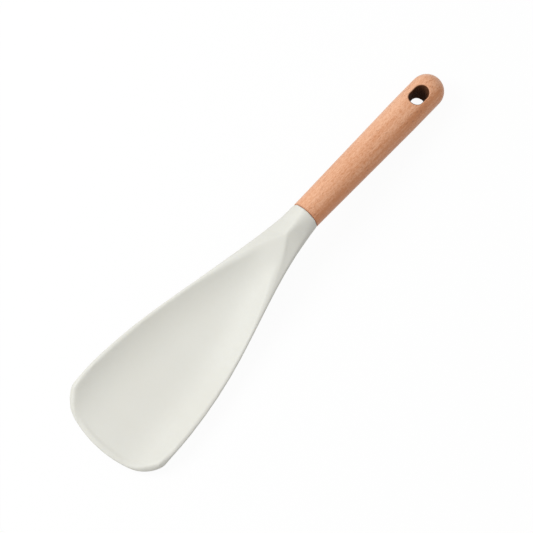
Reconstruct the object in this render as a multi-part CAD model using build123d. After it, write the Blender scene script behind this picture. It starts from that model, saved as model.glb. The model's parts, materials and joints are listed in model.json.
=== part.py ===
"""Rice paddle: a turned wooden handle, a moulded silicone scoop and the stiff core that joins them.

The tool lies face up on a table, as it does beside a rice cooker. Its round handle end and the belly
of the scoop touch the table, and the joint between wood and silicone stands clear of it.
+X runs along the tool towards the handle's end, +Y across it, +Z up. All lengths are in millimetres.
While the pieces are made, X is zero at the joint, and the last step moves the tool over its own middle.
"""
from build123d import *
from math import cos, radians, sin, tan
import os

# Handle
handle_length = 125.3           # from the joint to the end of the dome, along the handle
joint_diameter = 19.3           # wood and silicone meet flush here
end_diameter = 22.0             # from where the taper ends, and of the round end
handle_slope = 6.5              # degrees that the handle falls from the joint to its end
slot_length = 14.2              # the oblong hole that the tool hangs from
slot_width = 9.6
slot_to_end = 20.3              # from the middle of the slot to the end of the dome
slot_edge_bevel = 0.9
taper_end = 90.0                # where the handle's taper runs out, measured along it from the joint
wood_edge_bevel = 0.4           # the softened edge of the wood at the joint

# Head
head_length = 188.3             # from the joint to the tip
head_width = 77.0
rim_height = 10.6               # of the bowl's side rims above the table
rim_width = 3.0
floor_thickness = 3.1           # of the silicone and the core together, under the bowl
belly_corner_radius = 10.5      # outside, where the floor turns up into the walls
bowl_corner_radius = 8.0        # the same turn inside the bowl
shoulder_round = 0.8            # the outer edge of the rims
crown_round = 1.0               # the ridge on top of the neck
tip_height = 3.9                # of the front lip's upper edge above the table
tip_lift = 2.0                  # how far the underside rises from the table by the tip
tip_rim_width = 3.6             # of the low lip along the front, seen from above
tip_arc_radius = 75.0           # the gently curved front edge, in plan
tip_corner_radius = 22.8        # the two front corners, in plan
tip_flare = 12                  # degrees that the front edge leans outwards, and its lip inside

# Core
tang_diameter = 11.0            # the round root that is glued into the handle
tang_length = 38.0              # of the tang inside the handle
tang_root = 4.0                 # of the tang inside the neck
barb_height = 0.5               # of the rings on the tang that hold the glue
barb_pitch = 7.0
barb_count = 4
tang_chamfer = 1.2
stalk_width = 9.2               # of the stem that leads from the tang to the blade
skin = 0.85                     # silicone over and under the blade
key_hole_diameter = 6.0         # silicone fills these holes in the blade and ties both skins together
key_hole_pitch = 24.0
key_hole_count = 4

# Clearances
glue_gap = 0.15                 # between the tang's barbs and the bore
glue_pocket = 1.5               # free depth of the bore past the tang
moulding_gap = 0.1              # between the core and the silicone around it
overrun = 4.0                   # how far a cutting shape runs past what it cuts

# The head, station by station from the joint to just past the tip.
# Along is a share of the head's length. Width: 0 is the joint's half width, 1 the head's.
# Shoulder and keel: 1 is level with the joint's, 0 with the rims' or the belly's, -1 with the tip's.
# Crown is the rise of the neck's roof for each unit towards the middle, and flare the walls' slope, in
# degrees.
# Corner, edge and ridge are shares of the belly's corner, the shoulder's and the crown's radius.
body_shares = (
    # along, width, shoulder, keel, crown, flare, corner, edge, ridge
    (0.055, 0.037, 1.050, 1.000, 0.60, 4, 0.67, 5.00, 4.0),
    (0.110, 0.089, 1.005, 0.923, 0.38, 6, 0.71, 2.50, 1.2),
    (0.190, 0.193, 0.895, 0.755, 0.34, 9, 0.81, 1.60, 1.0),
    (0.290, 0.349, 0.677, 0.545, 0.24, 12, 0.90, 1.00, 1.0),
    (0.410, 0.554, 0.330, 0.320, 0.16, 15, 0.95, 1.00, 1.0),
    (0.550, 0.773, 0.075, 0.133, 0.12, 15, 0.95, 1.00, 1.0),
    (0.700, 0.931, 0.010, 0.024, 0.12, 15, 1.00, 1.00, 1.0),
    (0.850, 1.000, -0.020, 0.000, 0.12, 15, 0.95, 1.00, 1.0),
    (0.903, 1.000, -0.340, -0.100, 0.05, 15, 0.67, 1.00, 1.0),
    (0.951, 1.000, -0.790, -0.400, 0.01, 15, 0.29, 0.75, 1.0),
    (1.000, 1.000, -1.000, -0.800, 0.01, 15, 0.15, 0.50, 1.0),
    (1.030, 1.000, -1.050, -1.000, 0.01, 15, 0.11, 0.50, 1.0),
)
# The bowl. Along, width and keel are read as above, and crease as shoulder. Opening is a share of the width
# inside the rims, depth one of the way from the crease down to the floor, thickness one of the floor's, and
# corner one of the bowl's corner radius.
bowl_shares = (
    # along, width, opening, crease, keel, depth, thickness, flare, corner
    (0.093, 0.070, 0.033, 1.376, 0.955, 0.007, 1.00, 45, 0.02),
    (0.128, 0.110, 0.470, 1.226, 0.900, 0.363, 1.00, 35, 0.25),
    (0.170, 0.165, 0.769, 1.075, 0.800, 0.668, 1.00, 28, 0.45),
    (0.228, 0.250, 0.968, 0.906, 0.680, 0.881, 1.00, 22, 0.70),
    (0.290, 0.349, 1.047, 0.720, 0.545, 1.000, 1.00, 18, 0.90),
    (0.410, 0.554, 1.043, 0.350, 0.320, 1.000, 1.00, 14, 1.00),
    (0.550, 0.773, 1.022, 0.090, 0.133, 1.000, 1.00, 12, 1.05),
    (0.700, 0.931, 1.009, 0.030, 0.024, 1.000, 1.00, 12, 1.05),
    (0.850, 1.000, 1.000, 0.000, 0.000, 1.000, 1.00, 12, 1.00),
    (0.903, 1.000, 1.000, 0.000, -0.100, 1.000, 0.95, 12, 1.00),
    (0.951, 1.000, 1.000, 0.000, -0.400, 1.000, 0.80, 12, 1.00),
    (1.050, 1.000, 1.000, 0.000, -1.000, 1.000, 0.42, 12, 1.00),
)
# The core's stem: along, then the height of its middle as a share of the joint's, and its thickness as one
# of the stem's width
stalk_shares = (
    (0.055, 0.958, 0.89),
    (0.093, 0.862, 0.76),
    (0.128, 0.753, 0.61),
    (0.170, 0.617, 0.40),
    (0.228, 0.496, 0.25),
)
# The blade's plan: along, then half its width as a share of half the head's
blade_shares = (
    (0.190, 0.140),
    (0.228, 0.180),
    (0.290, 0.245),
    (0.410, 0.400),
    (0.550, 0.570),
    (0.700, 0.675),
    (0.850, 0.720),
)
blade_start_share = 0.290
blade_end_share = 0.903
key_hole_share = 0.460          # the first hole's place along the head
steps_per_gap = 2               # pieces that the surfaces have between two rows of a table
corner_fit_share = 0.9          # how much of a flat floor its two rounded corners may take
# Where the ring at the joint is split, in degrees, so that it has as many edges as the other sections
ring_split_degrees = (-70, -25, 5, 25, 75)

# Worked out from the sizes above
slope = radians(handle_slope)
joint_radius = joint_diameter / 2
end_radius = end_diameter / 2
half_width = head_width / 2
dome_centre = handle_length - end_radius
joint_height = end_radius + dome_centre * sin(slope)
neck_keel_height = joint_height - joint_radius
bore_radius = tang_diameter / 2 + barb_height + glue_gap
on_handle = Location((0, 0, joint_height), (0, handle_slope, 0))
joint_face_plane = Plane(origin=(0, 0, joint_height), x_dir=(0, 1, 0), z_dir=(cos(slope), 0, -sin(slope)))


def station(share):
    """The X of a station along the head."""
    return -share * head_length


def shoulder_height(share):
    """Height of the rims' outer edge, from the joint's level down to the tip's."""
    if share > 0:
        return rim_height + share * (joint_height - rim_height)
    return rim_height + share * (rim_height - tip_height)


def keel_height(share):
    """Height of the underside, from the joint's level down to the table and up again at the tip."""
    if share > 0:
        return share * neck_keel_height
    return -share * tip_lift


def half_width_at(share):
    """Half the head's width, from the joint's to that of the front."""
    return joint_radius + share * (half_width - joint_radius)


def cross_plane(share):
    """A plane across the head at a station, whose own axes are Y and Z."""
    return Plane(origin=(station(share), 0, 0), x_dir=(0, 1, 0), z_dir=(1, 0, 0))


def fitted_radius(radius, foot, flare):
    """A corner's radius, limited by the half floor that it rounds off."""
    return min(radius, corner_fit_share * foot / tan(radians(90 - flare) / 2))


def slope_at(rows, number, column):
    """How fast a column changes at one of its rows. It is level where the column turns back."""
    before, here, after = rows[max(number - 1, 0)], rows[number], rows[min(number + 1, len(rows) - 1)]
    slopes = [(end[column] - start[column]) / (end[0] - start[0])
              for start, end in ((before, here), (here, after)) if end[0] > start[0]]
    first, last = slopes[0], slopes[-1]
    return 2 * first * last / (first + last) if first * last > 0 else 0


def between(rows, number, fraction):
    """One row part of the way to the next, on smooth curves through the whole table."""
    gap = rows[number + 1][0] - rows[number][0]
    rise = fraction ** 2 * (3 - 2 * fraction)
    leave = gap * fraction * (1 - fraction) ** 2
    arrive = gap * fraction ** 2 * (fraction - 1)
    row = []
    for column in range(len(rows[number])):
        start, end = rows[number][column], rows[number + 1][column]
        row.append(start + rise * (end - start) + leave * slope_at(rows, number, column)
                   + arrive * slope_at(rows, number + 1, column))
    return tuple(row)


def close_rows(rows):
    """All the stations that the surfaces run through, with rows worked out between those in the table."""
    closer = []
    for number in range(len(rows) - 1):
        closer += [between(rows, number, step / steps_per_gap) for step in range(steps_per_gap)]
    return closer + [rows[-1]]


def joint_ring():
    """The round end of the neck, split into the same ten edges as the sections behind it."""
    right = list(ring_split_degrees)
    left = [180 - angle for angle in reversed(right)]
    starts = right + left
    ends = starts[1:] + [starts[0] + 360]
    arcs = [CenterArc((0, 0), joint_radius, start, end - start) for start, end in zip(starts, ends)]
    return joint_face_plane * make_face(arcs)


def body_section(row):
    """One closed section of the head before the bowl is cut: keel, flared walls and roof."""
    along, width, shoulder, keel, crown, flare, corner, edge, ridge = row
    side = half_width_at(width)
    top = shoulder_height(shoulder)
    bottom = keel_height(keel)
    foot = side - (top - bottom) * tan(radians(flare))
    belly = fitted_radius(corner * belly_corner_radius, foot, flare)
    rim = edge * shoulder_round
    points = [(-foot, bottom), (foot, bottom), (side, top), (0, top + crown * side), (-side, top)]
    radii = [belly, belly, rim, ridge * crown_round, rim]
    return cross_plane(along) * make_face(FilletPolyline(*points, radius=radii, close=True))


def bowl_section(row):
    """One section of the bowl's cut, open far above the rims."""
    along, width, opening, crease, keel, depth, thickness, flare, corner = row
    lip = opening * (half_width_at(width) - rim_width)
    level = shoulder_height(crease)
    low = level - depth * (level - keel_height(keel) - thickness * floor_thickness)
    high = level + joint_height
    lean = tan(radians(flare))
    foot = lip - (level - low) * lean
    mouth = lip + (high - level) * lean
    radius = fitted_radius(corner * bowl_corner_radius, foot, flare)
    walls = FilletPolyline((-mouth, high), (-foot, low), (foot, low), (mouth, high), radius=(radius, radius))
    return cross_plane(along) * make_face(walls + Line((mouth, high), (-mouth, high)))


def tip_outline(inset):
    """Plan of the scoop's front, moved inwards by an inset: a gentle arc with two rounded corners."""
    reach = head_length - inset
    side = half_width - inset
    front_radius = tip_arc_radius - inset
    corner_radius = tip_corner_radius - inset
    front_centre = front_radius - reach
    corner_y = side - corner_radius
    corner_x = front_centre - ((front_radius - corner_radius) ** 2 - corner_y ** 2) ** 0.5
    corner = Vector(corner_x, corner_y)
    outwards = (corner - Vector(front_centre, 0)).normalized()
    touch = corner + outwards * corner_radius
    bend = corner + (outwards + Vector(0, 1)).normalized() * corner_radius
    back = joint_radius + overrun
    return make_face([
        Line((back, -side), (corner_x, -side)),
        ThreePointArc((corner_x, -side), (bend.X, -bend.Y), (touch.X, -touch.Y)),
        ThreePointArc((touch.X, -touch.Y), (-reach, 0), (touch.X, touch.Y)),
        ThreePointArc((touch.X, touch.Y), (bend.X, bend.Y), (corner_x, side)),
        Line((corner_x, side), (back, side)),
        Line((back, side), (back, -side)),
    ])


def front_trim(inset):
    """A tall block whose walls lean outwards and meet the front's plan at the tip's height."""
    lean = tip_height * tan(radians(tip_flare))
    return extrude(tip_outline(inset + lean), amount=2 * joint_height, taper=-tip_flare)


def head_body():
    """The head as a full form: a round neck that spreads into a flared dish, trimmed at the front."""
    form = loft([joint_ring()] + [body_section(row) for row in close_rows(body_shares)], ruled=True)
    return form & front_trim(0)


def bowl_cut():
    """The bowl: it starts as a point on the neck's ridge and stops short of the front edge."""
    form = loft([bowl_section(row) for row in close_rows(bowl_shares)], ruled=True)
    return form & front_trim(tip_rim_width)


def blade_rows():
    """The stations that the blade's two faces run through, under the bowl's floor."""
    return [row for row in close_rows(bowl_shares) if blade_start_share <= row[0] <= blade_end_share]


def core_side(grow):
    """Side view of the stem and blade, thickened on all sides by grow."""
    root = -tang_root / 2
    upper = [(root, joint_height + stalk_width / 2 + grow)]
    lower = [(root, joint_height - stalk_width / 2 - grow)]
    for along, middle, thickness in close_rows(stalk_shares):
        half = thickness * stalk_width / 2 + grow
        upper.append((station(along), middle * joint_height + half))
        lower.append((station(along), middle * joint_height - half))
    for along, width, opening, crease, keel, depth, thickness, flare, corner in blade_rows():
        low = keel_height(keel)
        upper.append((station(along), low + thickness * floor_thickness - skin + grow))
        lower.append((station(along), low + skin - grow))
    return Plane.XZ * make_face(Polyline(*upper, *reversed(lower), close=True))


def core_plan(grow):
    """Plan of the stem and blade, widened on all sides by grow."""
    stem = stalk_width / 2 + grow
    edge = [(station(along), width * half_width + grow) for along, width in blade_shares]
    bend = (station(body_shares[1][0]), stem)
    mirrored = [(x, -y) for x, y in edge]
    end = (station(blade_end_share) - grow, 0)
    return make_face([
        Line((0, stem), bend),
        Spline(bend, *edge, tangents=((-1, 0), (-1, 0))),
        ThreePointArc(edge[-1], end, mirrored[-1]),
        Spline(*reversed(mirrored), (bend[0], -stem), tangents=((1, 0), (1, 0))),
        Line((bend[0], -stem), (0, -stem)),
        Line((0, -stem), (0, stem)),
    ])


def core_blade(grow):
    """The stem and the blade with its key holes, which shrink where the blade grows."""
    side = extrude(core_side(grow), amount=half_width, both=True)
    plan = extrude(core_plan(grow), amount=2 * joint_height)
    blade = side & plan
    for number in range(key_hole_count):
        x = station(key_hole_share) - number * key_hole_pitch
        blade -= Location((x, 0, 0)) * extrude(Circle(key_hole_diameter / 2 - grow), amount=joint_height)
    return blade


def round_bar(radius, start, end):
    """A cylinder on the handle's axis, between two distances from the joint."""
    bar = Location((start, 0, 0), (0, 90, 0)) * extrude(Circle(radius), amount=end - start)
    return on_handle * bar


def barbed_tang():
    """The root that is glued into the handle, with slanted rings and a chamfered end."""
    radius = tang_diameter / 2
    points = [(-tang_root, 0), (-tang_root, radius)]
    for number in range(barb_count):
        start = barb_pitch * (number + 1)
        points += [(start, radius), (start, radius + barb_height), (start + barb_pitch / 2, radius)]
    points += [(tang_length - tang_chamfer, radius), (tang_length, radius - tang_chamfer), (tang_length, 0)]
    return on_handle * revolve(make_face(Polyline(*points, close=True)), Axis.X)


def hanging_slot():
    """The oblong hole near the handle's end, with its bevelled mouths, lying along the X axis."""
    middle = Location((handle_length - slot_to_end, 0, 0))
    hole = SlotOverall(slot_length, slot_width)
    return extrude(middle * hole, amount=end_diameter, both=True)


def wooden_handle():
    """Turned beech: a slight taper, a dome, the hanging slot and the blind bore for the tang."""
    outline = make_face([
        Polyline((0, 0), (0, joint_radius - wood_edge_bevel), (wood_edge_bevel, joint_radius),
                 (taper_end, end_radius), (dome_centre, end_radius)),
        CenterArc((dome_centre, 0), end_radius, 0, 90),
        Line((handle_length, 0), (0, 0)),
    ])
    wood = revolve(outline, Axis.X) - hanging_slot()
    slot_start = handle_length - slot_to_end - slot_length / 2
    mouths = [edge for edge in wood.edges().filter_by_position(Axis.X, slot_start, slot_start + slot_length)
              if abs(edge.center().Z) > slot_width / 2]
    wood = chamfer(mouths, slot_edge_bevel)
    bore = Location((-overrun, 0, 0), (0, 90, 0)) * extrude(
        Circle(bore_radius), amount=overrun + tang_length + glue_pocket)
    return on_handle * (wood - bore)


def silicone_head():
    """The moulded scoop with its neck, and the space inside that the core fills."""
    head = head_body() - bowl_cut()
    head -= core_blade(moulding_gap)
    head -= round_bar(tang_diameter / 2 + moulding_gap, -tang_root - moulding_gap, overrun)
    return head


def stiffening_core():
    """Stem, blade and tang in one piece."""
    return core_blade(0) + barbed_tang()


def main():
    pieces = {
        "wooden_handle": wooden_handle(),
        "silicone_head": silicone_head(),
        "stiffening_core": stiffening_core(),
    }
    boxes = [shape.bounding_box() for shape in pieces.values()]
    middle = (min(box.min.X for box in boxes) + max(box.max.X for box in boxes)) / 2
    to_origin = Location((-middle, 0, -min(box.min.Z for box in boxes)))
    os.makedirs("parts", exist_ok=True)
    for name, shape in pieces.items():
        placed = to_origin * shape
        placed.label = name
        export_step(placed, f"parts/{name}.step")
        print(name, len(placed.solids()), round(placed.volume, 1), placed.bounding_box())


main()
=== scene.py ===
# %% [markdown]
# # A rice paddle in wood and silicone
# This lesson dresses a rice paddle that was first drawn as exact solids: a turned beech handle, a moulded
# silicone scoop, and a stiff nylon core that nobody sees. The solids are already at their real size, in
# metres, with the tool lying face up on a table. They come in through a few small helpers below. The
# paddle points its handle towards +X.

# %% The imported solids
import json
from math import cos, hypot, radians, sin, sqrt

import bpy
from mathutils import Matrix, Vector

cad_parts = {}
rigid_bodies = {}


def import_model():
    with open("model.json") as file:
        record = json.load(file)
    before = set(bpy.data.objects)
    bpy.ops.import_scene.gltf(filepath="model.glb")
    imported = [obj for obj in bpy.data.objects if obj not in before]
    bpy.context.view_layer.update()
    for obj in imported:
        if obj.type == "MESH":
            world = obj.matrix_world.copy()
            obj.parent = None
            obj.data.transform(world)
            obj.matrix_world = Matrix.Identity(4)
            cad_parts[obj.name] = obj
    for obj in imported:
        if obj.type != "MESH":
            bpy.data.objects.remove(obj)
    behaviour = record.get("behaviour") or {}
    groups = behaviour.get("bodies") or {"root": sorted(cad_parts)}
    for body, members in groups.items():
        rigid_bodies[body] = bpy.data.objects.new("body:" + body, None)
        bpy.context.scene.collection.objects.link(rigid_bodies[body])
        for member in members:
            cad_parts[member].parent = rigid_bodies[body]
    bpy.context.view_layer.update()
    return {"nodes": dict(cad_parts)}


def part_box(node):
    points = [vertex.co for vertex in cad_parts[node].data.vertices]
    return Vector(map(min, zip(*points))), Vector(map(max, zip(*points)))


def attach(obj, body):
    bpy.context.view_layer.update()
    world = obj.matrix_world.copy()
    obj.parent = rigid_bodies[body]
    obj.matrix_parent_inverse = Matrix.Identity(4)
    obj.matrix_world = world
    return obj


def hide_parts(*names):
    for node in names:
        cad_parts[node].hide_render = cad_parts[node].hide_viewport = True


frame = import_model()
print("solids:", sorted(frame["nodes"]))

# %% [markdown]
# A few values serve the whole lesson. The handle falls a little from the joint to its round end, so its
# own axis is tilted, and the wood's grain has to follow that axis. The joint with the silicone is found by
# going back along the axis from the round end.

# %% Shared measures
mm = 0.001
handle_low, handle_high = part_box("wooden_handle")
handle_slope = radians(6.5)
handle_length = 125.3 * mm
end_radius = (handle_high.y - handle_low.y) / 2
dome_reach = handle_length - end_radius     # from the joint to the round end's centre
joint = Vector((
    handle_high.x - end_radius - dome_reach * cos(handle_slope),
    0,
    end_radius + dome_reach * sin(handle_slope),
))
print("joint at", [round(value / mm, 2) for value in joint], "mm")

# %% [markdown]
# ## Camera
# The photograph looks down on the paddle from about 75 degrees up, with a long lens, so that the far end is
# hardly smaller than the near one. A camera could be set by eye, but its place, its turn and its lens pull
# against each other. These three were fitted to the outline of the handle, the slot and the joint, so the
# render can be laid over the picture.

# %% The camera
camera_place = (-246.7 * mm, -250.6 * mm, 1314.5 * mm)
camera_turn = (radians(14.869), radians(1.024), radians(-47.911))
camera_lens = 148.48            # millimetres, for the sensor below
sensor_width = 36

bpy.ops.object.camera_add(location=camera_place, rotation=camera_turn)
camera = bpy.context.object
camera.name = "view_from_above"
camera.data.sensor_width = sensor_width
camera.data.lens = camera_lens
bpy.context.scene.camera = camera
bpy.context.scene.view_settings.view_transform = "Standard"
print("camera looks from", [round(value / mm) for value in camera_place], "mm")

# %% [markdown]
# ## Shader maths
# A material's nodes are easier to read as sums. One small class wraps a socket, so that adding or scaling
# two of them adds the Math nodes, and one method makes every other kind of node.

# %% Sockets as values
class Wire:
    """An output socket that can be used in a sum."""

    def __init__(self, tree, socket):
        self.tree = tree
        self.socket = socket

    def maths(self, operation, *values):
        return node(self.tree, "ShaderNodeMath", {"operation": operation}, *values)

    def __add__(self, other):
        return self.maths("ADD", self, other)

    def __sub__(self, other):
        return self.maths("SUBTRACT", self, other)

    def __rsub__(self, other):
        return self.maths("SUBTRACT", other, self)

    def __mul__(self, other):
        return self.maths("MULTIPLY", self, other)

    def __pow__(self, other):
        return self.maths("POWER", self, other)

    __radd__ = __add__
    __rmul__ = __mul__

    def limited(self):
        """The same value, kept between 0 and 1."""
        return node(self.tree, "ShaderNodeClamp", {}, self)


print("sums of sockets use + - * and **")

# %% One method for every node
def node(tree, kind, settings, *values, output=0, numbered=(), **named):
    """Add a node, set it up, and feed its sockets: in order, by number and by name."""
    made = tree.nodes.new(kind)
    for name, value in settings.items():
        if name == "stops":
            for stop, (place, colour) in zip(made.color_ramp.elements, value):
                stop.position = place
                stop.color = colour
        else:
            setattr(made, name, value)
    inputs = dict(enumerate(values)) | dict(numbered)
    inputs |= {name.replace("_", " "): value for name, value in named.items()}
    for key, value in inputs.items():
        if isinstance(value, Wire):
            tree.links.new(value.socket, made.inputs[key])
        else:
            made.inputs[key].default_value = value
    return Wire(tree, made.outputs[output]) if made.outputs else None


print("node() makes and links every kind of node")

# %% [markdown]
# ## Table and light
# The picture was taken on a white sweep with one big soft lamp at the upper left. A floor that is really
# white would need so much light that the pale silicone would bleach. So the floor here is pale and matt,
# and what the camera or a gloss sees of it is lifted towards white. It still keeps a faint shadow of the
# paddle. The room round it lights the paddle softly, and only the camera sees it as a plain white backdrop.

# %% Helpers for pieces and materials
def pick(*pieces):
    """Select these objects alone, the first of them as the active one."""
    bpy.ops.object.select_all(action="DESELECT")
    for piece in pieces:
        piece.select_set(True)
    if pieces:
        bpy.context.view_layer.objects.active = pieces[0]


def grey(value):
    """A grey as a colour with four parts."""
    return (value, value, value, 1)


def new_material(name):
    """An empty material and its node tree."""
    made = bpy.data.materials.new(name)
    made.use_nodes = True
    made.node_tree.nodes.clear()
    return made, made.node_tree


def put_on(piece, material):
    """Give a piece one material alone."""
    piece.data.materials.clear()
    piece.data.materials.append(material)
    print(material.name, "on", piece.name)


pick()
print("picked:", len(bpy.context.selected_objects))

# %% The floor
floor_size = 6.0
floor_drop = 0.05 * mm          # just under the paddle, so that the two don't share a plane
floor_colour = (0.55, 0.55, 0.54, 1)
floor_lift = 0.90               # how much of the floor is plain white to the camera
white_strength = 1.05

pick()
bpy.ops.mesh.primitive_plane_add(size=floor_size, location=(0, 0, -floor_drop))
floor = bpy.context.object
floor.name = "floor"
sweep, tree = new_material("white_sweep")
matt = node(tree, "ShaderNodeBsdfDiffuse", {}, Color=floor_colour)
white = node(tree, "ShaderNodeEmission", {}, Color=grey(1), Strength=white_strength)
seen = node(tree, "ShaderNodeLightPath", {}, output="Is Camera Ray")
mirrored = node(tree, "ShaderNodeLightPath", {}, output="Is Glossy Ray")
through = node(tree, "ShaderNodeLightPath", {}, output="Is Transmission Ray")
lift = (seen + mirrored + through).limited() * floor_lift
lifted = node(tree, "ShaderNodeMixShader", {}, lift, matt, white)
node(tree, "ShaderNodeOutputMaterial", {}, lifted)
put_on(floor, sweep)

# %% The room
room_strength = 0.58
backdrop_strength = 1.0

surroundings = bpy.data.worlds.new("soft_room")
surroundings.use_nodes = True
tree = surroundings.node_tree
tree.nodes.clear()
room = node(tree, "ShaderNodeBackground", {}, Color=grey(1), Strength=room_strength)
backdrop = node(tree, "ShaderNodeBackground", {}, Color=grey(1), Strength=backdrop_strength)
seen = node(tree, "ShaderNodeLightPath", {}, output="Is Camera Ray")
around = node(tree, "ShaderNodeMixShader", {}, seen, room, backdrop)
node(tree, "ShaderNodeOutputWorld", {}, around)
bpy.context.scene.world = surroundings
print("room light", room_strength, "and backdrop", backdrop_strength)

# %% The soft box
lamp_power = 8.1
lamp_colour = (0.96, 0.98, 1.0)     # a daylight lamp is a touch cool
lamp_distance = 1.2
lamp_size = 0.75
lamp_height = radians(47)
lamp_side = radians(118)        # counted from +X towards +Y

lamp_place = lamp_distance * Vector((
    cos(lamp_height) * cos(lamp_side), cos(lamp_height) * sin(lamp_side), sin(lamp_height)))
bpy.ops.object.light_add(type="AREA", location=lamp_place)
lamp = bpy.context.object
lamp.name = "soft_box"
lamp.data.shape = "DISK"
lamp.data.size = lamp_size
lamp.data.energy = lamp_power
lamp.data.color = lamp_colour
lamp.rotation_euler = (-lamp_place).to_track_quat("-Z", "Y").to_euler()
print("soft box", lamp_size, "m across at", [round(value, 2) for value in lamp_place])

# %% [markdown]
# ## Beech
# Steamed beech is pink and orange, with hardly any figure. What shows is a soft long streak along the grain
# and many short dark dashes, which are its rays. It could be painted as an image, but that would need an
# unwrapped surface and would blur close up. Noise that is stretched along the handle gives both, at any
# scale. The pattern is read in the handle's own axes: a Mapping node turns the object's coordinates by its
# slope.

# %% Beech's colours and axes
beech_light = (0.98, 0.565, 0.355, 1)
beech_dark = (0.67, 0.27, 0.115, 1)
beech_fleck = (0.42, 0.15, 0.07, 1)

beech, tree = new_material("oiled_beech")
place = node(tree, "ShaderNodeTexCoord", {}, output="Object")
along_grain = node(tree, "ShaderNodeMapping", {"vector_type": "TEXTURE"}, place, tuple(joint),
                   (0, handle_slope, 0))
print("grain runs at", round(handle_slope / radians(1), 1), "degrees to the table")

# %% Grain as stretched noise
def stretched_noise(tree, vector, long, wide, detail=2.0, rough=0.5, seed=0.0):
    """Noise whose grains are so long along X and so wide across it, in metres."""
    scaled = node(tree, "ShaderNodeMapping", {}, vector, (seed, seed, seed), (0, 0, 0),
                  (1 / long, 1 / wide, 1 / wide))
    return node(tree, "ShaderNodeTexNoise", {}, Vector=scaled, Scale=1.0, Detail=detail, Roughness=rough)


def mask(tree, value, low, high):
    """A mask that is 0 up to the low level of a value and 1 from its high level on."""
    return node(tree, "ShaderNodeValToRGB", {"stops": ((low, grey(0)), (high, grey(1)))}, value)


streaks = stretched_noise(tree, along_grain, long=60 * mm, wide=4 * mm, detail=4.0, rough=0.6)
fibres = stretched_noise(tree, along_grain, long=7 * mm, wide=0.45 * mm, detail=4.0, rough=0.65, seed=3.1)
speckle = stretched_noise(tree, along_grain, long=1.6 * mm, wide=0.8 * mm, rough=0.6, seed=5.9)
dashes = stretched_noise(tree, along_grain, long=2.4 * mm, wide=0.8 * mm, detail=1.0, rough=0.4, seed=7.7)
clouds = stretched_noise(tree, along_grain, long=18 * mm, wide=8 * mm, seed=12.3)
streak_mask = mask(tree, streaks, low=0.30, high=0.72)
speckle_mask = mask(tree, speckle, low=0.40, high=0.64)
dash_mask = mask(tree, dashes, low=0.60, high=0.70)
cloud_mask = mask(tree, clouds, low=0.45, high=0.66)
print("the grain has", len(tree.nodes), "nodes so far")

# %% [markdown]
# The side of the handle away from the soft box is painted darker and redder: painted shade, on top of the
# lamp's own shading. The dashes gather in clouds, as they do on a turned piece wherever the cut meets the
# rays end on. Both are sums of the noises above with the place across the handle, so they need no second
# pattern.

# %% The wood's colour
streak_share, fibre_share, speckle_share = 0.6, 0.5, 0.4
plain_share = 0.26              # taken off their sum, so that some of the wood stays plain
# painted shade: the side away from the soft box is made darker and redder, as if it lay in shade
painted_shade_reach = 9 * mm            # over this much of the handle's width the painted shade grows
painted_shade_start = 0.1               # how far from the handle's middle that begins, as a share of the reach
painted_shade_clouds = 0.4              # how much the clouds, which lie round 0.5, bend its edge
painted_shade_strength = 0.55
dash_least, dash_most = 0.12, 0.5   # how dark the dashes are everywhere, and what the clouds add


def mixed(tree, share, first, second):
    """A colour between two others. A share of 1 gives the second."""
    colour_sockets = {0: share, 6: first, 7: second}    # the node has other ones for numbers and vectors
    return node(tree, "ShaderNodeMix", {"data_type": "RGBA"}, output=2, numbered=colour_sockets)


along = node(tree, "ShaderNodeSeparateXYZ", {}, along_grain, output=0)
across = node(tree, "ShaderNodeSeparateXYZ", {}, along_grain, output=1)
# painted shade on the side of the handle away from the soft box, with the grain's own tone added to it
painted_shade_side = (0.0 - across) * (1 / painted_shade_reach) - painted_shade_start + (clouds - 0.5) * painted_shade_clouds
grain = streak_mask * streak_share + fibres * fibre_share + speckle_mask * speckle_share - plain_share
grain_and_painted_shade = (grain.limited() + painted_shade_side.limited() * painted_shade_strength).limited()
wood = mixed(tree, grain_and_painted_shade, beech_light, beech_dark)
wood = mixed(tree, dash_mask * (cloud_mask * dash_most + dash_least), wood, beech_fleck)
print("beech runs from", beech_light[:3], "to", beech_dark[:3])

# %% [markdown]
# The slot's wall is painted dark: painted shade for the shadow in the slot. The rim at the joint shows end
# grain, which drinks more oil and turns dark. They could be faces with a material of their own, but the
# handle's mesh stays as it came. So the wall is found by its distance from the slot's middle line, and the
# rim by its distance from the joint.

# %% The slot's painted shade and the joint's rim
slot_length = 14.2 * mm
slot_width = 9.6 * mm
slot_middle = handle_length - 20.3 * mm     # from the joint, along the handle
wall_climb = 0.5 * mm           # how far the painted shade climbs on to the slot's bevel
wall_fade = 0.3 * mm
rim_width = 0.7 * mm
rim_fade = 0.5 * mm
rim_dark = 0.4

past_middle = (along - slot_middle).maths("ABSOLUTE", along - slot_middle)
past_round = past_middle - (slot_length - slot_width) / 2
past_round = past_round.maths("MAXIMUM", past_round, 0.0)
from_slot = (past_round ** 2 + across ** 2) ** 0.5
# painted shade: the mask of the slot's wall, where the shadow in the slot falls
slot_painted_shade = ((slot_width / 2 + wall_climb - from_slot) * (1 / wall_fade)).limited()
joint_rim = ((rim_width - along) * (1 / rim_fade)).limited()
wood = mixed(tree, joint_rim * rim_dark, wood, beech_fleck)
print("slot is", round(slot_width / mm, 1), "mm wide,", round(slot_middle / mm, 1), "mm from the joint")

# %% [markdown]
# Sanded and oiled beech has a low, even sheen, and its fibres stand up a little. The bump is read from the
# same noises as the colour, so each dark dash is also a small dip. Carved into the mesh, they would take
# millions of faces. The slot's wall gets a second, dark shader without gloss: painted shade for the slot's
# shadow. The wall's mask leads from one to the other.

# %% The wood's finish
# painted shade: the near-black of the shadow inside the slot
slot_shade_colour = (0.10, 0.035, 0.014, 1)
wall_cover = 0.95               # a little of the oiled wood still shows on the wall

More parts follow.
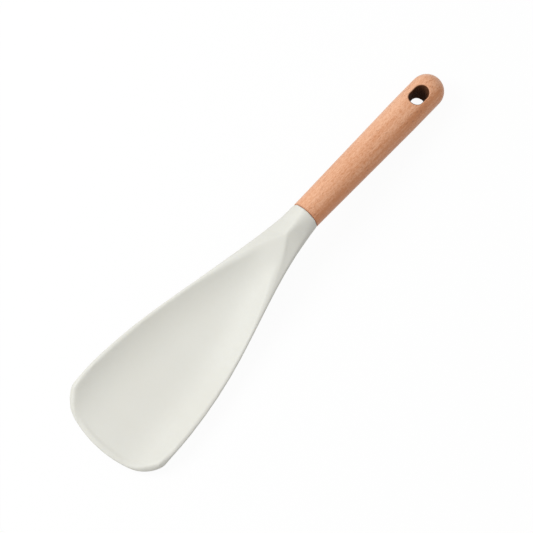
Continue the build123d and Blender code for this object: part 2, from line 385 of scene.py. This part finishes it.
wood_height = fibres * 0.5 - dash_mask * 0.5
wood_bump = node(tree, "ShaderNodeBump", {}, Strength=0.25, Distance=0.15 * mm, Height=wood_height)
wood_surface = node(tree, "ShaderNodeBsdfPrincipled", {}, Base_Color=wood, Normal=wood_bump,
                    Roughness=fibres * 0.15 + 0.34)
# painted shade: a dark shader without gloss, laid where the slot's shadow falls
slot_shade_surface = node(tree, "ShaderNodeBsdfPrincipled", {}, Base_Color=slot_shade_colour, Roughness=0.9,
                   Specular_IOR_Level=0.0)
wood_and_slot_shade = node(tree, "ShaderNodeMixShader", {}, slot_painted_shade * wall_cover, wood_surface, slot_shade_surface)
node(tree, "ShaderNodeOutputMaterial", {}, wood_and_slot_shade)
put_on(frame["nodes"]["wooden_handle"], beech)

# %% [markdown]
# ## The scoop
# The solid is one moulding with a hollow inside for its core. Only its skin shows. It could be modelled
# afresh, but the solid already has the right outline, so its skin is taken alone. The flat ring at the
# joint is deleted, which cuts the hollow loose, and the hollow goes too. What is left is closed again there.

# %% A copy of the solid
merge_distance = 0.002 * mm


def report(piece):
    """Print how large a piece's mesh is."""
    print(piece.name, "has", len(piece.data.polygons), "faces")


scoop = bpy.data.objects.new("scoop", frame["nodes"]["silicone_head"].data.copy())
bpy.context.scene.collection.objects.link(scoop)
pick(scoop)
bpy.ops.object.mode_set(mode="EDIT")
bpy.ops.mesh.customdata_custom_splitnormals_clear()
bpy.ops.mesh.select_all(action="SELECT")
bpy.ops.mesh.remove_doubles(threshold=merge_distance)
bpy.ops.mesh.select_all(action="DESELECT")
bpy.ops.object.mode_set(mode="OBJECT")
report(scoop)

# %% Without the ring at the joint
ring_thickness = 0.02 * mm
ring_facing = 0.99              # how squarely its faces look towards the handle

towards_handle = Vector((cos(handle_slope), 0, -sin(handle_slope)))
for face in scoop.data.polygons:
    reach = (face.center - joint).dot(towards_handle)
    face.select = abs(reach) < ring_thickness and face.normal.dot(towards_handle) > ring_facing
bpy.ops.object.mode_set(mode="EDIT")
bpy.ops.mesh.delete(type="FACE")
bpy.ops.mesh.select_all(action="DESELECT")
bpy.ops.object.mode_set(mode="OBJECT")
report(scoop)

# %% The skin alone, closed at the joint
front_tip = min(scoop.data.vertices, key=lambda vertex: vertex.co.x)
front_tip.select = True
bpy.ops.object.mode_set(mode="EDIT")
bpy.ops.mesh.select_linked(delimit=set())
bpy.ops.mesh.select_all(action="INVERT")
bpy.ops.mesh.delete(type="VERT")
bpy.ops.mesh.select_all(action="SELECT")
bpy.ops.mesh.fill_holes(sides=0)
bpy.ops.object.mode_set(mode="OBJECT")
report(scoop)

# %% [markdown]
# ## The bowl's dish
# On the real paddle the floor isn't flat. It is one shallow dish that starts at nothing on the neck's ridge,
# deepens towards the front and runs out over the front edge, while the rims' ends slope down round the two
# corners. A narrow flat shelf lies on either side of its back part. The solid has a plain tray there. The
# dish could be carved by hand in sculpt mode, but a table of stations keeps it smooth and easy to change.

# %% The dish by stations
station_names = ("opening", "level", "depth", "tray", "edge")
bowl_stations = (
    # Millimetres from the joint, then half the opening, the level of the rims' inner edge, the dish's
    # depth, the tray's depth in the solid, and the level of the rims' outer edge.
    (17.5, 0.3, 28.96, 0.00, 0.09, 28.96),
    (24.1, 4.6, 26.95, 0.02, 3.99, 26.95),
    (32.0, 8.8, 24.94, 0.15, 6.95, 24.94),
    (37.5, 11.2, 23.80, 0.90, 7.80, 23.80),
    (42.9, 13.4, 22.69, 1.90, 8.69, 22.69),
    (54.6, 17.5, 20.20, 4.00, 9.31, 20.20),
    (77.2, 23.6, 15.27, 5.70, 7.60, 15.27),
    (103.6, 29.6, 11.80, 6.20, 6.80, 11.80),
    (131.8, 33.8, 11.00, 6.95, 7.56, 11.00),
    (160.1, 35.5, 10.60, 7.25, 7.50, 10.60),
    (170.0, 35.5, 10.60, 7.05, 7.46, 8.40),
    (179.1, 35.5, 10.60, 6.75, 7.32, 5.30),
    (188.3, 35.5, 10.60, 6.55, 7.30, 3.90),
)
print(len(bowl_stations), "stations, the last", bowl_stations[-1][0], "mm from the joint")

# %% Between the stations
def at_station(reach):
    """The bowl's measures at any distance from the joint, on smooth curves through the table."""
    rows = bowl_stations
    number = max(index for index, row in enumerate(rows[:-1]) if row[0] <= reach)
    start, end = rows[number], rows[number + 1]
    before, after = rows[max(number - 1, 0)], rows[min(number + 2, len(rows) - 1)]
    gap = end[0] - start[0]
    share = (reach - start[0]) / gap
    measures = []
    for column in range(1, len(start)):
        leave = (end[column] - before[column]) / (end[0] - before[0]) * gap
        arrive = (after[column] - start[column]) / (after[0] - start[0]) * gap
        measures.append(start[column] * (1 + 2 * share) * (1 - share) ** 2
                        + end[column] * share ** 2 * (3 - 2 * share)
                        + leave * share * (1 - share) ** 2 + arrive * share ** 2 * (share - 1))
    return dict(zip(station_names, measures))


halfway = at_station(bowl_stations[-1][0] / 2)
print("halfway the dish is", round(halfway["depth"], 1), "mm deep")

# %% The head's plan in front
front_reach, front_radius = 188.3, 75.0     # the front edge's arc, in millimetres as the stations are
corner_reach, corner_side, corner_radius = 163.1, 15.7, 22.8
corner_ends = 0.954             # share of the corner's radius at which the front's arc takes over


def half_plan(reach, inset):
    """Half the head's width in front, where its corners and its front edge are rounded."""
    touch = corner_reach + (corner_radius - inset) * corner_ends
    if reach <= corner_reach:
        return corner_side + corner_radius - inset
    if reach <= touch:
        return corner_side + sqrt((corner_radius - inset) ** 2 - (reach - corner_reach) ** 2)
    return sqrt((front_radius - inset) ** 2 - (reach - front_reach + front_radius) ** 2)


def inside(reach, side):
    """How far a point of the plan lies from the head's front edge."""
    centre = front_reach - front_radius
    if reach > corner_reach and side * (corner_reach - centre) > corner_side * (reach - centre):
        return corner_radius - hypot(reach - corner_reach, side - corner_side)
    return min(corner_side + corner_radius - side, front_radius - hypot(reach - centre, side))


print("the head is", round(2 * half_plan(corner_reach, 0), 1), "mm wide where its corners begin")

# %% The dish's upper side
rim_end_slope = 0.9
shelf_width, shelf_middle, shelf_reach = 3.0, 44, 34
shelf_most = 0.25               # of half the opening
round_floor, flat_floor = 2.1, 1.5      # the floor's power at the neck, and what the front adds to it
flat_starts, flat_grows = 60, 110


def dish_height(reach, side):
    """Height of the dish above the table, cut down by the slope of the rims' ends."""
    here = at_station(reach)
    power = round_floor + flat_floor * min(max((reach - flat_starts) / flat_grows, 0), 1)
    shelf = shelf_width * max(1 - abs(reach - shelf_middle) / shelf_reach, 0)
    shelf = min(shelf, shelf_most * here["opening"])
    share = min(side / (here["opening"] - shelf), 1)
    dish = here["level"] - here["depth"] * (1 - share ** power)
    return min(dish, here["edge"] + rim_end_slope * max(inside(reach, side), 0))


print("the front edge is", round(dish_height(front_reach, 0), 2), "mm above the table")

# %% The dish's underside
wall_overlap = 0.6              # how far the dish goes into the tray's walls
floor_overlap = 0.4             # and its underside into the floor
wall_lean = 0.25                # how far the walls' feet stand in, as a share of their height
rim_cover = 0.3                 # how much lower than the walls the underside stays


def sunk_height(reach, side):
    """Height inside the tray's floor and walls, where the dish's underside is hidden."""
    here = at_station(reach)
    foot = here["opening"] - wall_lean * here["tray"]
    up_wall = max(side - foot, 0) / (here["opening"] + wall_overlap - foot)
    return here["level"] - here["tray"] - floor_overlap + up_wall * max(here["tray"] - rim_cover, 0)


print("halfway the underside is", round(sunk_height(front_reach / 2, 0), 2), "mm above the table")

# %% [markdown]
# The dish itself is a grid. It is extruded once, so that it has an upper and a lower layer and closed sides.
# Then each point of the upper layer goes to the dish's height, and each one of the lower layer into the
# tray's floor. Joined to the skin, the two overlap everywhere, and the remesh below makes one body of them.

# %% Laying the dish into the tray
grid_along, grid_across = 240, 72
plan_inset = 0.4                # how far the dish stays inside the head's plan
front_gap = 0.6                 # and how far it ends before the front edge
first, last = bowl_stations[0][0], front_reach - front_gap

pick()
bpy.ops.mesh.primitive_grid_add(x_subdivisions=grid_along, y_subdivisions=grid_across, size=2)
dish = bpy.context.object
dish.name = "dish"
bpy.ops.object.mode_set(mode="EDIT")
bpy.ops.mesh.select_all(action="SELECT")
bpy.ops.mesh.extrude_region_move(TRANSFORM_OT_translate={"value": (0, 0, -1)})
bpy.ops.mesh.select_all(action="SELECT")
bpy.ops.mesh.normals_make_consistent(inside=False)
bpy.ops.object.mode_set(mode="OBJECT")
for vertex in dish.data.vertices:
    along_grid, across_grid, layer = vertex.co      # from -1 to 1, from -1 to 1, and 0 or -1
    reach = first + (last - first) * (1 - along_grid) / 2
    side = across_grid * min(at_station(reach)["opening"] + wall_overlap, half_plan(reach, plan_inset))
    height = dish_height if layer > -0.5 else sunk_height
    vertex.co = (joint.x - reach * mm, side * mm, height(reach, abs(side)) * mm)
report(dish)

# %% One piece of two
pick(scoop, dish)
bpy.ops.object.join()
report(scoop)

# %% [markdown]
# Silicone comes out of a polished mould, so it has no sharp edge anywhere. Bevels would stumble over the
# solid's many thin triangles. A voxel remesh gives an even mesh instead, and a smoothing rounds every edge
# of it alike. The rims' ends are smoothed further, so that they fade into the front edge.

# %% An even mesh with soft edges
voxel = 0.60 * mm

remesh = scoop.modifiers.new("even_skin", "REMESH")
remesh.mode = "VOXEL"
remesh.voxel_size = voxel
bpy.ops.object.modifier_apply(modifier=remesh.name)
polish = scoop.modifiers.new("polish", "SMOOTH")
polish.factor = 0.5
polish.iterations = 14
bpy.ops.object.modifier_apply(modifier=polish.name)
report(scoop)

# %% Softer ends of the rims
rim_end_reach, rim_end_side = 168, 36   # millimetres from the joint and from the middle
soft_radius = 15                # where the extra smoothing ends
soft_fade = 10                  # over how many millimetres it fades

corners = scoop.vertex_groups.new(name="corners")
for vertex in scoop.data.vertices:
    reach, side = (joint.x - vertex.co.x) / mm, abs(vertex.co.y) / mm
    weight = (soft_radius - hypot(reach - rim_end_reach, side - rim_end_side)) / soft_fade
    if weight > 0:
        corners.add([vertex.index], min(weight, 1), "REPLACE")
soften = scoop.modifiers.new("soften", "SMOOTH")
soften.vertex_group = corners.name
soften.factor = 0.6
soften.iterations = 30
bpy.ops.object.modifier_apply(modifier=soften.name)
bpy.ops.object.shade_smooth()
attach(scoop, "root")
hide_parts("silicone_head")
report(scoop)

# %% [markdown]
# ## Silicone
# Food-grade silicone is matt and milky. A little light goes in and comes out again, which softens the
# shadows in the bowl. A plain pale colour would look like plaster, so light is let in by the shader's own
# subsurface sockets, and the colour drifts very slightly between a greenish and a warm white.

# %% Silicone's colour and skin
silicone_pale = (0.768, 0.764, 0.706, 1)
silicone_warm = (0.738, 0.720, 0.648, 1)
drift_size, mottle_size, skin_size = 45 * mm, 3 * mm, 0.35 * mm
drift_share, mottle_share = 0.8, 0.3
pale_share = 0.05               # taken off their sum
light_depth = 2.0 * mm
light_colours = (1.0, 0.95, 0.8)        # red goes deepest, as in all pale soft things

silicone, tree = new_material("matt_silicone")
place = node(tree, "ShaderNodeTexCoord", {}, output="Object")
drift = node(tree, "ShaderNodeTexNoise", {}, Vector=place, Scale=1 / drift_size, Detail=2.0)
mottle = node(tree, "ShaderNodeTexNoise", {}, Vector=place, Scale=1 / mottle_size, Detail=3.0)
pores = node(tree, "ShaderNodeTexNoise", {}, Vector=place, Scale=1 / skin_size, Detail=2.0)
warmth = (drift * drift_share + mottle * mottle_share - pale_share).limited()
skin_colour = mixed(tree, warmth, silicone_pale, silicone_warm)
skin_bump = node(tree, "ShaderNodeBump", {}, Strength=0.12, Distance=0.05 * mm, Height=pores)
skin = node(tree, "ShaderNodeBsdfPrincipled", {}, Base_Color=skin_colour, Roughness=mottle * 0.10 + 0.46,
            Normal=skin_bump, Subsurface_Weight=0.12, Subsurface_Radius=light_colours,
            Subsurface_Scale=light_depth)
node(tree, "ShaderNodeOutputMaterial", {}, skin)
put_on(scoop, silicone)

# %% [markdown]
# ## The hidden core
# The nylon core stays as the solid that it is, because it shows only in a section view. It gets a plain
# glass-filled nylon, with the faint flow marks that such a moulding has.

# %% Glass-filled nylon
nylon_light = (0.74, 0.73, 0.69, 1)
nylon_dark = (0.66, 0.65, 0.60, 1)
flow_share, glass_share = 0.6, 0.4

nylon, tree = new_material("glass_filled_nylon")
place = node(tree, "ShaderNodeTexCoord", {}, output="Object")
flow = stretched_noise(tree, place, long=30 * mm, wide=3 * mm, detail=3.0)
glass = stretched_noise(tree, place, long=1.5 * mm, wide=0.3 * mm, detail=1.0, seed=5.0)
nylon_tone = mixed(tree, (flow * flow_share + glass * glass_share).limited(), nylon_light, nylon_dark)
nylon_bump = node(tree, "ShaderNodeBump", {}, Strength=0.2, Distance=0.05 * mm, Height=glass)
nylon_surface = node(tree, "ShaderNodeBsdfPrincipled", {}, Base_Color=nylon_tone, Normal=nylon_bump,
                     Roughness=flow * 0.2 + 0.4)
node(tree, "ShaderNodeOutputMaterial", {}, nylon_surface)
put_on(frame["nodes"]["stiffening_core"], nylon)
